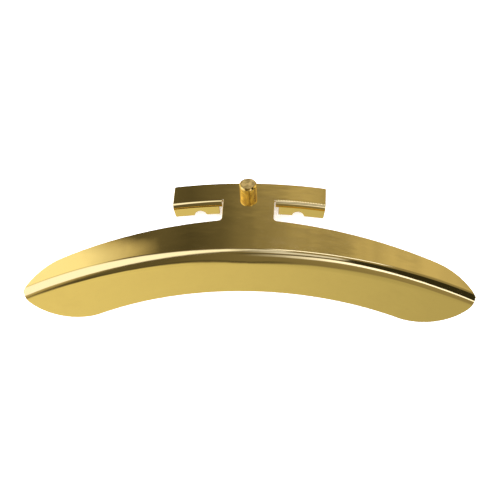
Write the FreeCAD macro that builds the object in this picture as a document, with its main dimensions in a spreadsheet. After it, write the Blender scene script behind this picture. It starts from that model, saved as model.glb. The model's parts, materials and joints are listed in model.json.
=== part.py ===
import FreeCAD, Part
import math
import os
import Sketcher

# A banjo armrest: one stamped and plated sheet that spans the edge of the pot, with a T-shaped
# tab hanging from it, and a thumbscrew clamp that holds the tab to the tension hoop.
#
# Every piece is drawn in the attitude in which the armrest is worn. X runs along the rim, Y points
# away from the pot, Z points up out of the drum head, and the origin is where the outer face of the
# tab and the top face of the rest would meet at mid length if the bend between them were sharp.
# The last step tips all the pieces together so that the armrest lies on a table like a tent, on the
# tab's corners and the two lobes, with the origin under the middle of its box.

# ---------------------------------------------------------------- driving dimensions, millimetres
SIZES = {
    # stamped sheet
    "sheet": 1.2,
    "rim_radius": 186.6,        # outer face of the wall, seen from above
    "roll": 5.0,                # outside radius of the bend between wall and rest
    "tip_half": 92.1,
    "blank_reach": 44.0,        # depth of the blank that the rest is cut from
    "rest_reach": 20.3,         # rest, from the wall's outer face to its concave edge at mid length
    "hollow_radius": 130.0,     # concave edge of the rest
    "lobe_radius": 23.2,
    "lobe_half": 71.3,
    # wall and tab, as depths below the top face of the rest
    "wall_mid": 20.4,           # lower edge beside the stem
    "wall_end": 13.5,           # lower edge where the end curve begins
    "wall_end_half": 76.5,
    "wall_bow": 0.45,           # how far that edge bows below a straight line
    "end_radius": 21.0,
    "stem_half": 10.5,
    "stem_fillet": 1.6,
    "tab_half": 31.3,
    "tab_depth": 41.5,
    "tab_corner": 0.4,
    "arm_top": 32.0,            # where the arms of the tab start to bend into the ears
    # ears, the two folded strips with a notch for a bracket hook
    "ear_bend": 2.0,
    "ear_reach": 6.15,
    "ear_start": 12.3,
    "root_start": 10.9,         # the bend alone runs on towards the stem, up to a relief slit
    "ear_corner": 0.5,
    "notch_half": 19.9,
    "notch_radius": 2.3,
    "notch_lip": 0.5,
    # thumbscrew
    "screw_depth": 31.1,
    "screw_radius": 2.0,
    "screw_tip": 10.2,          # inboard end of the stud
    "tip_chamfer": 0.5,
    "hole_radius": 2.08,
    "seat_gap": 0.1,
    "head_radius": 3.45,
    "head_length": 9.8,
    "head_chamfer": 0.4,
    "socket_length": 6.5,
    "groove_radius": 1.6,
    # washer and spring clip behind the tab
    "washer_radius": 4.0,
    "washer_bore": 2.06,
    "washer_thick": 0.5,
    "washer_start": 1.32,
    "clip_radius": 3.1,
    "clip_thick": 0.6,
    "clip_mouth": 1.1,
    "clip_start": 1.9,
    # clamp jaw, at its fully open place; inboard distances and depths
    "jaw_half": 8.5,
    "jaw_front": 5.2,
    "jaw_heel": 8.2,
    "lip_face": 14.6,
    "lip_thick": 2.2,
    "jaw_top": 25.4,
    "jaw_bottom": 35.2,
    "lip_top": 21.5,
    "lip_bottom": 25.0,
    "jaw_rounding": 0.5,
    "jaw_bore": 2.07,
    "pad_thick": 0.6,
    "pad_half": 7.6,
    "pad_top": 22.0,
    "pad_bottom": 25.0,
}

WASTE = 130.0                   # how far the outline cuts reach past the sheet
TRIM_MARGIN = 0.8               # how far the wall's end curve runs on past the tips
REST_CLEAR = 8.0                # the rest's cut stays this far outside the wall
NOTCH_ZONE = 1.3                # edges within this many notch radii of its centre belong to a notch
TOUCH = 1e-3                    # points closer than this are taken to be in the same place
PARTS_FOLDER = "parts"

doc = FreeCAD.newDocument("banjo_armrest")
sheet = doc.addObject("Spreadsheet::Sheet", "sizes")
for row, (alias, value) in enumerate(SIZES.items(), start=1):
    sheet.set(f"A{row}", alias)
    sheet.set(f"B{row}", str(value))
    sheet.setAlias(f"B{row}", alias)
doc.recompute()


def size(alias):
    return float(sheet.get(alias))


def vec(x, y, z=0.0):
    return FreeCAD.Vector(x, y, z)


# ---------------------------------------------------------------- sketch helpers
def new_body(name):
    body = doc.addObject("PartDesign::Body", name)
    body.Label = name
    return body


def new_sketch(body, name, plane, offset=None):
    """A sketch on one of the body's own origin planes."""
    sketch = body.newObject("Sketcher::SketchObject", name)
    base = [item for item in body.Origin.OriginFeatures if item.Role == plane][0]
    sketch.AttachmentSupport = [(base, "")]
    sketch.MapMode = "FlatFace"
    if offset is not None:
        sketch.AttachmentOffset = offset
    return sketch


def line(start, end):
    return Part.LineSegment(vec(*start), vec(*end))


def arc(center, radius, start_deg, end_deg):
    """An anticlockwise arc."""
    circle = Part.Circle(vec(*center), vec(0, 0, 1), radius)
    return Part.ArcOfCircle(circle, math.radians(start_deg), math.radians(end_deg))


def add_loop(sketch, pieces):
    """Adds lines and arcs that follow each other in a closed loop, and joins their ends.

    Each piece is (geometry, reversed); an arc that the loop follows clockwise is reversed.
    Returns the geometry indices.
    """
    indices = [sketch.addGeometry(geometry, False) for geometry, _ in pieces]
    count = len(pieces)
    for order in range(count):
        following = (order + 1) % count
        end = 1 if pieces[order][1] else 2
        start = 2 if pieces[following][1] else 1
        sketch.addConstraint(
            Sketcher.Constraint("Coincident", indices[order], end, indices[following], start))
    return indices


def bind(sketch, name, expression, *constraint):
    """Adds a dimension and ties it to the sheet."""
    index = sketch.addConstraint(Sketcher.Constraint(*constraint))
    sketch.renameConstraint(index, name)
    sketch.setExpression(f"Constraints.{name}", expression)


def straighten(sketch, horizontal=(), vertical=()):
    for index in horizontal:
        sketch.addConstraint(Sketcher.Constraint("Horizontal", index))
    for index in vertical:
        sketch.addConstraint(Sketcher.Constraint("Vertical", index))


def square_bend(sketch, index):
    """Keeps an arc a quarter circle that starts level with its centre and ends above it."""
    sketch.addConstraint(Sketcher.Constraint("Horizontal", index, 3, index, 1))
    sketch.addConstraint(Sketcher.Constraint("Vertical", index, 3, index, 2))


def revolve(body, sketch, axis, angle, midplane):
    feature = body.newObject("PartDesign::Revolution", f"{sketch.Name}_turned")
    feature.Profile = sketch
    feature.ReferenceAxis = (sketch, [axis])
    feature.Angle = angle
    feature.Midplane = midplane
    sketch.Visibility = False
    return feature


def cut_through(body, sketch):
    feature = body.newObject("PartDesign::Pocket", f"{sketch.Name}_cut")
    feature.Profile = sketch
    feature.Type = "ThroughAll"
    feature.Midplane = True
    sketch.Visibility = False
    return feature


def checked_cut(body, sketch):
    """Cuts through the body and makes sure that something was removed."""
    doc.recompute()
    before = body.Shape.Volume
    feature = cut_through(body, sketch)
    doc.recompute()
    if body.Shape.Volume >= before - 1e-6:
        raise RuntimeError(f"{feature.Name} removed nothing")
    return feature


def rim_offset(turn_deg=0.0):
    """Puts a profile sketch's origin on the axis that the rim curves about, turned by an angle."""
    turn = FreeCAD.Rotation(vec(0, 1, 0), turn_deg)
    return FreeCAD.Placement(vec(-size("rim_radius"), 0, 0), turn)


def rim_angle(half_width, inset=0.0):
    """The angle about the rim's axis that reaches a given X."""
    return math.degrees(math.asin(half_width / (size("rim_radius") - inset)))


def rim_sag(x, inset=0.0):
    """How far inboard a face of the wall lies at a given X."""
    radius = size("rim_radius") - inset
    return size("rim_radius") - math.sqrt(radius ** 2 - x ** 2)


# ---------------------------------------------------------------- armrest plate
def rim_profile(body):
    """The rest, the bend and the full height of the wall, as a section across the rim."""
    outer = size("rim_radius")
    inner = outer - size("sheet")
    far = outer - size("blank_reach")
    bend = outer - size("roll")
    low = -size("tab_depth")
    sketch = new_sketch(body, "rim_profile", "YZ_Plane", rim_offset())
    bend_center = (bend, -size("roll"))
    wall, roll, top, edge, under, inside_roll, back, foot = add_loop(sketch, [
        (line((outer, low), (outer, -size("roll"))), False),
        (arc(bend_center, size("roll"), 0, 90), False),
        (line((bend, 0), (far, 0)), False),
        (line((far, 0), (far, -size("sheet"))), False),
        (line((far, -size("sheet")), (bend, -size("sheet"))), False),
        (arc(bend_center, size("roll") - size("sheet"), 0, 90), True),
        (line((inner, -size("roll")), (inner, low)), False),
        (line((inner, low), (outer, low)), False),
    ])
    straighten(sketch, horizontal=(top, under, foot), vertical=(wall, edge, back))
    square_bend(sketch, roll)
    sketch.addConstraint(Sketcher.Constraint("Coincident", roll, 3, inside_roll, 3))
    square_bend(sketch, inside_roll)
    sketch.addConstraint(Sketcher.Constraint("PointOnObject", top, 1, -1))
    bind(sketch, "outer_face", "sizes.rim_radius", "DistanceX", -1, 1, wall, 1, outer)
    bind(sketch, "depth", "sizes.tab_depth", "DistanceY", wall, 1, -1, 1, -low)
    bind(sketch, "bend_radius", "sizes.roll", "Radius", roll, size("roll"))
    bind(sketch, "thickness", "sizes.sheet", "DistanceY", edge, 2, edge, 1, size("sheet"))
    bind(sketch, "reach", "sizes.blank_reach", "DistanceX", edge, 1, wall, 1,
         size("blank_reach"))
    return revolve(body, sketch, "V_Axis", 2 * rim_angle(size("tip_half") + 1.0), True)


def wall_outline(body):
    """Seen from the front: trims the wall to its long lower edge, the stem and the arms."""
    sketch = new_sketch(body, "wall_outline", "XZ_Plane")
    stem = size("stem_half")
    fillet = size("stem_fillet")
    mid = -size("wall_mid")
    end_x = size("wall_end_half")
    end_z = -size("wall_end")
    tab = size("tab_half")
    corner = size("tab_corner")
    foot = -size("tab_depth")
    arm = -size("arm_top")
    # the long edge is a shallow arc through its two ends and the bow at its middle
    start = vec(stem + fillet, mid)
    finish = vec(end_x, end_z)
    chord = finish - start
    normal = vec(-chord.y, chord.x).normalize()
    middle = (start + finish) * 0.5 - normal * size("wall_bow")
    # the end curve leaves the long edge without a kink
    bow_angle = 2 * math.atan(2 * size("wall_bow") / chord.Length)
    heading = math.atan2(chord.y, chord.x) + bow_angle
    radius = size("end_radius")
    center_x = end_x - radius * math.sin(heading)
    center_z = end_z + radius * math.cos(heading)
    reach_x = size("tip_half") + TRIM_MARGIN
    reach_z = center_z - math.sqrt(radius ** 2 - (reach_x - center_x) ** 2)
    low_turn = math.degrees(heading) - 90
    high_turn = math.degrees(math.atan2(reach_z - center_z, reach_x - center_x))
    for side in (1, -1):
        if side == 1:
            long_edge = Part.Arc(start, middle, finish)
            leave, arrive = low_turn, high_turn
        else:
            long_edge = Part.Arc(vec(-finish.x, finish.y), vec(-middle.x, middle.y),
                                 vec(-start.x, start.y))
            leave, arrive = 180 - high_turn, 180 - low_turn
        mirrored = side == -1
        fillet_arc = arc((side * (stem + fillet), mid - fillet), fillet,
                         0 if mirrored else 90, 90 if mirrored else 180)
        corner_arc = arc((side * (tab - corner), foot + corner), corner,
                         180 if mirrored else 270, 270 if mirrored else 360)
        loop = add_loop(sketch, [
            (line((side * stem, arm), (side * stem, mid - fillet)), False),
            (fillet_arc, not mirrored),
            (long_edge, mirrored),
            (arc((side * center_x, center_z), radius, leave, arrive), mirrored),
            (line((side * reach_x, reach_z), (side * WASTE, reach_z)), False),
            (line((side * WASTE, reach_z), (side * WASTE, -WASTE)), False),
            (line((side * WASTE, -WASTE), (side * (tab - corner), -WASTE)), False),
            (line((side * (tab - corner), -WASTE), (side * (tab - corner), foot)), False),
            (corner_arc, mirrored),
            (line((side * tab, foot + corner), (side * tab, arm)), False),
            (line((side * tab, arm), (side * stem, arm)), False),
        ])
        stem_line, tab_line, slot_line = loop[0], loop[9], loop[10]
        tag = "right" if side == 1 else "left"
        straighten(sketch, horizontal=(loop[4], loop[6], slot_line),
                   vertical=(stem_line, loop[5], loop[7], tab_line))
        if side == 1:
            bind(sketch, f"stem_{tag}", "sizes.stem_half", "DistanceX", -1, 1, stem_line, 1, stem)
            bind(sketch, f"tab_{tag}", "sizes.tab_half", "DistanceX", -1, 1, tab_line, 2, tab)
        else:
            bind(sketch, f"stem_{tag}", "sizes.stem_half", "DistanceX", stem_line, 1, -1, 1, stem)
            bind(sketch, f"tab_{tag}", "sizes.tab_half", "DistanceX", tab_line, 2, -1, 1, tab)
        bind(sketch, f"arm_{tag}", "sizes.arm_top", "DistanceY", stem_line, 1, -1, 1, -arm)
        bind(sketch, f"end_{tag}", "sizes.end_radius", "Radius", loop[3], radius)
    return checked_cut(body, sketch)


def rest_outline(body):
    """Seen from above: trims the rest to its concave edge, its two lobes and the tips."""
    sketch = new_sketch(body, "rest_outline", "XY_Plane")
    reach = size("rest_reach")
    hollow = size("hollow_radius")
    lobe = size("lobe_radius")
    lobe_x = size("lobe_half")
    tip_x = size("tip_half")
    hollow_y = -(reach + hollow)
    # the lobes touch the concave edge smoothly
    lobe_y = hollow_y + math.sqrt((hollow + lobe) ** 2 - lobe_x ** 2)
    join = math.degrees(math.atan2(lobe_y - hollow_y, lobe_x))
    tip_y = lobe_y - math.sqrt(lobe ** 2 - (tip_x - lobe_x) ** 2)
    tip = math.degrees(math.atan2(tip_y - lobe_y, tip_x - lobe_x))
    loop = add_loop(sketch, [
        (arc((-lobe_x, lobe_y), lobe, 180 - tip, 360 - join), False),
        (arc((0, hollow_y), hollow, join, 180 - join), True),
        (arc((lobe_x, lobe_y), lobe, 180 + join, 360 + tip), False),
        (line((tip_x, tip_y), (tip_x, REST_CLEAR)), False),
        (line((tip_x, REST_CLEAR), (WASTE, REST_CLEAR)), False),
        (line((WASTE, REST_CLEAR), (WASTE, -WASTE)), False),
        (line((WASTE, -WASTE), (-WASTE, -WASTE)), False),
        (line((-WASTE, -WASTE), (-WASTE, REST_CLEAR)), False),
        (line((-WASTE, REST_CLEAR), (-tip_x, REST_CLEAR)), False),
        (line((-tip_x, REST_CLEAR), (-tip_x, tip_y)), False),
    ])
    straighten(sketch, horizontal=(loop[4], loop[6], loop[8]),
               vertical=(loop[3], loop[5], loop[7], loop[9]))
    bind(sketch, "lobe_left", "sizes.lobe_radius", "Radius", loop[0], lobe)
    bind(sketch, "hollow", "sizes.hollow_radius", "Radius", loop[1], hollow)
    bind(sketch, "lobe_right", "sizes.lobe_radius", "Radius", loop[2], lobe)
    bind(sketch, "tip_right", "sizes.tip_half", "DistanceX", -1, 1, loop[3], 1, tip_x)
    bind(sketch, "tip_left", "sizes.tip_half", "DistanceX", loop[9], 1, -1, 1, tip_x)
    bind(sketch, "lobe_right_x", "sizes.lobe_half", "DistanceX", -1, 1, loop[2], 3, lobe_x)
    bind(sketch, "lobe_left_x", "sizes.lobe_half", "DistanceX", loop[0], 3, -1, 1, lobe_x)
    return checked_cut(body, sketch)


def ear(body, side):
    """One folded ear: a quarter bend off the top of the arm and a flat strip towards the pot."""
    outer = size("rim_radius")
    bend = size("ear_bend")
    thick = size("sheet")
    arm = -size("arm_top")
    start = rim_angle(size("ear_start"))
    stop = rim_angle(size("tab_half"))
    tag = "right" if side == 1 else "left"
    near = -stop if side == 1 else start
    sketch = new_sketch(body, f"ear_{tag}", "YZ_Plane", rim_offset(near))
    center = (outer - bend, arm)
    end = outer - size("ear_reach")
    loop = add_loop(sketch, [
        (arc(center, bend, 0, 90), False),
        (line((outer - bend, arm + bend), (end, arm + bend)), False),
        (line((end, arm + bend), (end, arm + bend - thick)), False),
        (line((end, arm + bend - thick), (outer - bend, arm + bend - thick)), False),
        (arc(center, bend - thick, 0, 90), True),
        (line((outer - thick, arm), (outer, arm)), False),
    ])
    straighten(sketch, horizontal=(loop[1], loop[3], loop[5]), vertical=(loop[2],))
    square_bend(sketch, loop[0])
    sketch.addConstraint(Sketcher.Constraint("Coincident", loop[0], 3, loop[4], 3))
    sketch.addConstraint(Sketcher.Constraint("Vertical", loop[4], 3, loop[4], 2))
    bind(sketch, "ear_bend", "sizes.ear_bend", "Radius", loop[0], bend)
    bind(sketch, "ear_thick", "sizes.sheet", "DistanceX", loop[5], 1, loop[5], 2, thick)
    bind(sketch, "ear_reach", "sizes.ear_reach", "DistanceX", loop[2], 1, loop[5], 2,
         size("ear_reach"))
    bind(sketch, "ear_face", "sizes.rim_radius", "DistanceX", -1, 1, loop[5], 2, outer)
    bind(sketch, "ear_level", "sizes.arm_top", "DistanceY", loop[5], 2, -1, 1, -arm)
    return revolve(body, sketch, "V_Axis", stop - start, False)


def ear_root(body, side):
    """The short length of bend between the ear and the stem, with no strip after it."""
    outer = size("rim_radius")
    bend = size("ear_bend")
    thick = size("sheet")
    arm = -size("arm_top")
    start = rim_angle(size("root_start"))
    stop = rim_angle(size("ear_start"))
    tag = "right" if side == 1 else "left"
    near = -stop if side == 1 else start
    sketch = new_sketch(body, f"ear_root_{tag}", "YZ_Plane", rim_offset(near))
    center = (outer - bend, arm)
    loop = add_loop(sketch, [
        (arc(center, bend, 0, 90), False),
        (line((outer - bend, arm + bend), (outer - bend, arm + bend - thick)), False),
        (arc(center, bend - thick, 0, 90), True),
        (line((outer - thick, arm), (outer, arm)), False),
    ])
    straighten(sketch, horizontal=(loop[3],), vertical=(loop[1],))
    square_bend(sketch, loop[0])
    sketch.addConstraint(Sketcher.Constraint("Coincident", loop[0], 3, loop[2], 3))
    bind(sketch, "root_bend", "sizes.ear_bend", "Radius", loop[0], bend)
    bind(sketch, "root_thick", "sizes.sheet", "DistanceX", loop[3], 1, loop[3], 2, thick)
    bind(sketch, "root_face", "sizes.rim_radius", "DistanceX", -1, 1, loop[3], 2, outer)
    bind(sketch, "root_level", "sizes.arm_top", "DistanceY", loop[3], 2, -1, 1, -arm)
    return revolve(body, sketch, "V_Axis", stop - start, False)


def hook_notches(body):
    """Half-round notches in the free edges of the ears."""
    level = -size("arm_top") + size("ear_bend")
    clearance = 0.8
    offset = FreeCAD.Placement(vec(0, 0, level + clearance), FreeCAD.Rotation())
    sketch = new_sketch(body, "hook_notches", "XY_Plane", offset)
    notch_y = -rim_sag(size("notch_half"), size("ear_reach"))
    for side, tag in ((1, "right"), (-1, "left")):
        circle = Part.Circle(vec(side * size("notch_half"), notch_y), vec(0, 0, 1),
                             size("notch_radius"))
        index = sketch.addGeometry(circle, False)
        bind(sketch, f"notch_{tag}", "sizes.notch_radius", "Radius", index, size("notch_radius"))
        ends = (-1, 1, index, 3) if side == 1 else (index, 3, -1, 1)
        bind(sketch, f"notch_{tag}_x", "sizes.notch_half", "DistanceX", *ends, size("notch_half"))
        bind(sketch, f"notch_{tag}_y",
             "sizes.rim_radius - sqrt((sizes.rim_radius - sizes.ear_reach) ^ 2"
             " - sizes.notch_half ^ 2)", "DistanceY", index, 3, -1, 1, -notch_y)
    doc.recompute()
    before = body.Shape.Volume
    pocket = body.newObject("PartDesign::Pocket", "hook_notches_cut")
    pocket.Profile = sketch
    pocket.Length = 2 * clearance + size("sheet")
    sketch.Visibility = False
    doc.recompute()
    if body.Shape.Volume >= before - 1.0:
        raise RuntimeError("the hook notches removed nothing")
    return pocket


def screw_hole(body):
    sketch = new_sketch(body, "screw_hole", "XZ_Plane")
    circle = Part.Circle(vec(0, -size("screw_depth")), vec(0, 0, 1), size("hole_radius"))
    index = sketch.addGeometry(circle, False)
    bind(sketch, "hole_radius", "sizes.hole_radius", "Radius", index, size("hole_radius"))
    bind(sketch, "hole_depth", "sizes.screw_depth", "DistanceY", index, 3, -1, 1,
         size("screw_depth"))
    sketch.addConstraint(Sketcher.Constraint("PointOnObject", index, 3, -2))
    return checked_cut(body, sketch)


def upright_ear_edges(body, inside_notch):
    """Names of the ears' short upright edges, either at the notch mouths or at the ear corners."""
    top = -size("arm_top") + size("ear_bend")
    bottom = top - size("sheet")
    half_reach = size("ear_reach") / 2
    names = []
    for number, edge in enumerate(body.Shape.Edges, start=1):
        if len(edge.Vertexes) != 2:
            continue
        low, high = sorted((v.Point for v in edge.Vertexes), key=lambda point: point.z)
        upright = math.hypot(low.x - high.x, low.y - high.y) < TOUCH
        if not upright or abs(low.z - bottom) > TOUCH or abs(high.z - top) > TOUCH:
            continue
        from_notch = abs(abs(low.x) - size("notch_half"))
        in_notch = from_notch < NOTCH_ZONE * size("notch_radius")
        on_free_edge = low.y < -half_reach
        if on_free_edge and in_notch == inside_notch:
            names.append(f"Edge{number}")
    return names


def round_edges(body, name, edges, alias):
    base = body.Tip
    feature = body.newObject("PartDesign::Fillet", name)
    feature.Base = (base, edges)
    feature.setExpression("Radius", f"sizes.{alias}")
    doc.recompute()


def armrest_plate():
    body = new_body("armrest_plate")
    rim_profile(body)
    wall_outline(body)
    rest_outline(body)
    for side in (1, -1):
        ear(body, side)
        ear_root(body, side)
    hook_notches(body)
    screw_hole(body)
    round_edges(body, "ear_corners", upright_ear_edges(body, False), "ear_corner")
    round_edges(body, "notch_lips", upright_ear_edges(body, True), "notch_lip")
    return body


# ---------------------------------------------------------------- thumbscrew
def screw_axis():
    """Sketch offset that puts the sketch origin on the screw's axis; its X runs along the screw."""
    return FreeCAD.Placement(vec(0, -size("screw_depth"), 0), FreeCAD.Rotation())


def thumbscrew_head():
    """The barrel head, with a blind socket that the stud is pressed into."""
    body = new_body("thumbscrew_head")
    sketch = new_sketch(body, "head_profile", "YZ_Plane", screw_axis())
    seat = size("seat_gap")
    face = seat + size("head_length")
    radius = size("head_radius")
    chamfer = size("head_chamfer")
    socket = seat + size("socket_length")
    stud = size("screw_radius")
    loop = add_loop(sketch, [
        (line((socket, 0), (face, 0)), False),
        (line((face, 0), (face, radius - chamfer)), False),
        (line((face, radius - chamfer), (face - chamfer, radius)), False),
        (line((face - chamfer, radius), (seat + chamfer, radius)), False),
        (line((seat + chamfer, radius), (seat, radius - chamfer)), False),
        (line((seat, radius - chamfer), (seat, stud)), False),
        (line((seat, stud), (socket, stud)), False),
        (line((socket, stud), (socket, 0)), False),
    ])
    straighten(sketch, horizontal=(loop[0], loop[3], loop[6]),
               vertical=(loop[1], loop[5], loop[7]))
    sketch.addConstraint(Sketcher.Constraint("PointOnObject", loop[0], 1, -1))
    bind(sketch, "seat", "sizes.seat_gap", "DistanceX", -1, 1, loop[5], 2, seat)
    bind(sketch, "length", "sizes.head_length", "DistanceX", loop[5], 2, loop[1], 1,
         size("head_length"))
    bind(sketch, "radius", "sizes.head_radius", "DistanceY", -1, 1, loop[3], 1, radius)
    bind(sketch, "socket", "sizes.socket_length", "DistanceX", loop[5], 2, loop[7], 1,
         size("socket_length"))
    bind(sketch, "socket_radius", "sizes.screw_radius", "DistanceY", -1, 1, loop[6], 1, stud)
    for name, start, end in (("face_chamfer", loop[2], loop[2]), ("seat_chamfer", loop[4], loop[4])):
        bind(sketch, f"{name}_fall", "sizes.head_chamfer", "DistanceY",
             *((start, 1, end, 2) if name == "face_chamfer" else (start, 2, end, 1)), chamfer)
        bind(sketch, f"{name}_run", "sizes.head_chamfer", "DistanceX", start, 2, end, 1, chamfer)
    revolve(body, sketch, "H_Axis", 360.0, False)
    return body


def screw_stud():
    """The stud, with a groove for the spring clip and a chamfered tip."""
    body = new_body("screw_stud")
    sketch = new_sketch(body, "stud_profile", "YZ_Plane", screw_axis())
    head_end = size("seat_gap") + size("socket_length")
    radius = size("screw_radius")
    groove = size("groove_radius")
    slack = 0.03
    near = -(size("clip_start") - slack)
    far = near - size("clip_thick") - 2 * slack
    tip = -size("screw_tip")
    chamfer = size("tip_chamfer")
    outline = [(head_end, 0), (head_end, radius), (near, radius), (near, groove),
               (far, groove), (far, radius), (tip + chamfer, radius),
               (tip, radius - chamfer), (tip, 0)]
    sides = list(zip(outline, outline[1:] + outline[:1]))
    loop = add_loop(sketch, [(line(start, end), False) for start, end in sides])
    level = [index for index, (start, end) in zip(loop, sides) if start[1] == end[1]]
    upright = [index for index, (start, end) in zip(loop, sides) if start[0] == end[0]]
    straighten(sketch, horizontal=level, vertical=upright)
    sketch.addConstraint(Sketcher.Constraint("PointOnObject", loop[0], 1, -1))
    bind(sketch, "radius", "sizes.screw_radius", "DistanceY", loop[0], 1, loop[0], 2, radius)
    bind(sketch, "radius_past_groove", "sizes.screw_radius", "DistanceY", -1, 1, loop[5], 1,
         radius)
    bind(sketch, "head_end", "sizes.seat_gap + sizes.socket_length", "DistanceX", -1, 1,
         loop[0], 1, head_end)
    bind(sketch, "tip", "sizes.screw_tip", "DistanceX", loop[-1], 1, -1, 1, -tip)
    bind(sketch, "tip_fall", "sizes.tip_chamfer", "DistanceY", loop[6], 2, loop[6], 1, chamfer)
    bind(sketch, "tip_run", "sizes.tip_chamfer", "DistanceX", loop[6], 2, loop[6], 1, chamfer)
    bind(sketch, "groove_radius", "sizes.groove_radius", "DistanceY", -1, 1, loop[3], 1, groove)
    bind(sketch, "groove_near", f"sizes.clip_start - {slack}", "DistanceX", loop[3], 1, -1, 1,
         -near)
    bind(sketch, "groove_width", f"sizes.clip_thick + {2 * slack}", "DistanceX",
         loop[3], 2, loop[3], 1, near - far)
    revolve(body, sketch, "H_Axis", 360.0, False)
    return body


def across_screw(inboard):
    """Sketch offset for a plane square to the screw, at a distance inboard of the wall's face."""
    return FreeCAD.Placement(vec(0, -size("screw_depth"), inboard), FreeCAD.Rotation())


def screw_clip():
    """A C-shaped spring ring that snaps into the stud's groove and keeps the screw in the tab."""
    body = new_body("screw_clip")
    sketch = new_sketch(body, "clip_outline", "XZ_Plane", across_screw(size("clip_start")))
    fit = 0.02
    outer = size("clip_radius")
    inner = size("groove_radius") + fit
    mouth = size("clip_mouth")
    outer_angle = math.degrees(math.asin(mouth / outer))
    inner_angle = math.degrees(math.asin(mouth / inner))
    outer_x = math.sqrt(outer ** 2 - mouth ** 2)
    inner_x = math.sqrt(inner ** 2 - mouth ** 2)
    loop = add_loop(sketch, [
        (arc((0, 0), outer, outer_angle, 360 - outer_angle), False),
        (line((outer_x, -mouth), (inner_x, -mouth)), False),
        (arc((0, 0), inner, inner_angle, 360 - inner_angle), True),
        (line((inner_x, mouth), (outer_x, mouth)), False),
    ])
    sketch.addConstraint(Sketcher.Constraint("Coincident", loop[0], 3, -1, 1))
    sketch.addConstraint(Sketcher.Constraint("Coincident", loop[2], 3, -1, 1))
    straighten(sketch, horizontal=(loop[1], loop[3]))
    bind(sketch, "outer", "sizes.clip_radius", "Radius", loop[0], outer)
    bind(sketch, "inner", f"sizes.groove_radius + {fit}", "Radius", loop[2], inner)
    bind(sketch, "mouth_low", "sizes.clip_mouth", "DistanceY", loop[1], 1, -1, 1, mouth)
    bind(sketch, "mouth_high", "sizes.clip_mouth", "DistanceY", -1, 1, loop[3], 1, mouth)
    pad = body.newObject("PartDesign::Pad", "clip_pad")
    pad.Profile = sketch
    pad.setExpression("Length", "sizes.clip_thick")
    sketch.Visibility = False
    return body


def thrust_washer():
    """The flat washer between the back of the tab and the spring clip."""
    pieces = []
    for name, alias in (("washer_disc", "washer_radius"), ("washer_hole", "washer_bore")):
        cylinder = doc.addObject("Part::Cylinder", name)
        cylinder.setExpression("Radius", f"sizes.{alias}")
        cylinder.setExpression("Height", "sizes.washer_thick")
        cylinder.Placement = FreeCAD.Placement(
            vec(0, -size("washer_start"), -size("screw_depth")),
            FreeCAD.Rotation(vec(1, 0, 0), 90))
        pieces.append(cylinder)
    washer = doc.addObject("Part::Cut", "thrust_washer")
    washer.Label = "thrust_washer"
    washer.Base, washer.Tool = pieces
    return washer


# ---------------------------------------------------------------- clamp jaw
def clamp_jaw():
    """A claw on the stud: a tapped block under the hoop and a lip that rises behind it.

    Its back slants so that it clears a table that the armrest lies on.
    """
    body = new_body("clamp_jaw")
    sketch = new_sketch(body, "jaw_profile", "YZ_Plane")
    front = -size("jaw_front")
    heel = -size("jaw_heel")
    face = -size("lip_face")
    back = face - size("lip_thick")
    top = -size("jaw_top")
    bottom = -size("jaw_bottom")
    lip_top = -size("lip_top")
    lip_bottom = -size("lip_bottom")
    front_side, floor, rise, tip, behind, slant, under = add_loop(sketch, [
        (line((front, bottom), (front, top)), False),
        (line((front, top), (face, top)), False),
        (line((face, top), (face, lip_top)), False),
        (line((face, lip_top), (back, lip_top)), False),
        (line((back, lip_top), (back, lip_bottom)), False),
        (line((back, lip_bottom), (heel, bottom)), False),
        (line((heel, bottom), (front, bottom)), False),
    ])
    straighten(sketch, horizontal=(floor, tip, under), vertical=(front_side, rise, behind))
    bind(sketch, "front", "sizes.jaw_front", "DistanceX", front_side, 1, -1, 1, -front)
    bind(sketch, "heel", "sizes.jaw_heel", "DistanceX", under, 1, -1, 1, -heel)
    bind(sketch, "face", "sizes.lip_face", "DistanceX", rise, 1, -1, 1, -face)
    bind(sketch, "lip", "sizes.lip_thick", "DistanceX", tip, 2, tip, 1, size("lip_thick"))
    bind(sketch, "top", "sizes.jaw_top", "DistanceY", floor, 1, -1, 1, -top)
    bind(sketch, "bottom", "sizes.jaw_bottom", "DistanceY", under, 1, -1, 1, -bottom)
    bind(sketch, "lip_top", "sizes.lip_top", "DistanceY", tip, 1, -1, 1, -lip_top)
    bind(sketch, "lip_bottom", "sizes.lip_bottom", "DistanceY", slant, 1, -1, 1, -lip_bottom)
    pad = body.newObject("PartDesign::Pad", "jaw_block")
    pad.Profile = sketch
    pad.Midplane = True
    pad.setExpression("Length", "2 * sizes.jaw_half")
    sketch.Visibility = False

    bore = new_sketch(body, "jaw_bore", "XZ_Plane", across_screw(0.0))
    index = bore.addGeometry(Part.Circle(vec(0, 0), vec(0, 0, 1), size("jaw_bore")), False)
    bore.addConstraint(Sketcher.Constraint("Coincident", index, 3, -1, 1))
    bind(bore, "bore", "sizes.jaw_bore", "Radius", index, size("jaw_bore"))
    checked_cut(body, bore)

    edges = []
    for number, edge in enumerate(body.Shape.Edges, start=1):
        points = [vertex.Point for vertex in edge.Vertexes]
        if len(points) != 2 or not isinstance(edge.Curve, Part.Line):
            continue
        along_width = abs(points[0].x - points[1].x) > size("jaw_half")
        inner_corner = abs(points[0].y - face) < TOUCH and abs(points[0].z - top) < TOUCH
        if along_width and not inner_corner:
            edges.append(f"Edge{number}")
    round_edges(body, "jaw_rounding", edges, "jaw_rounding")
    return body


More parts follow.
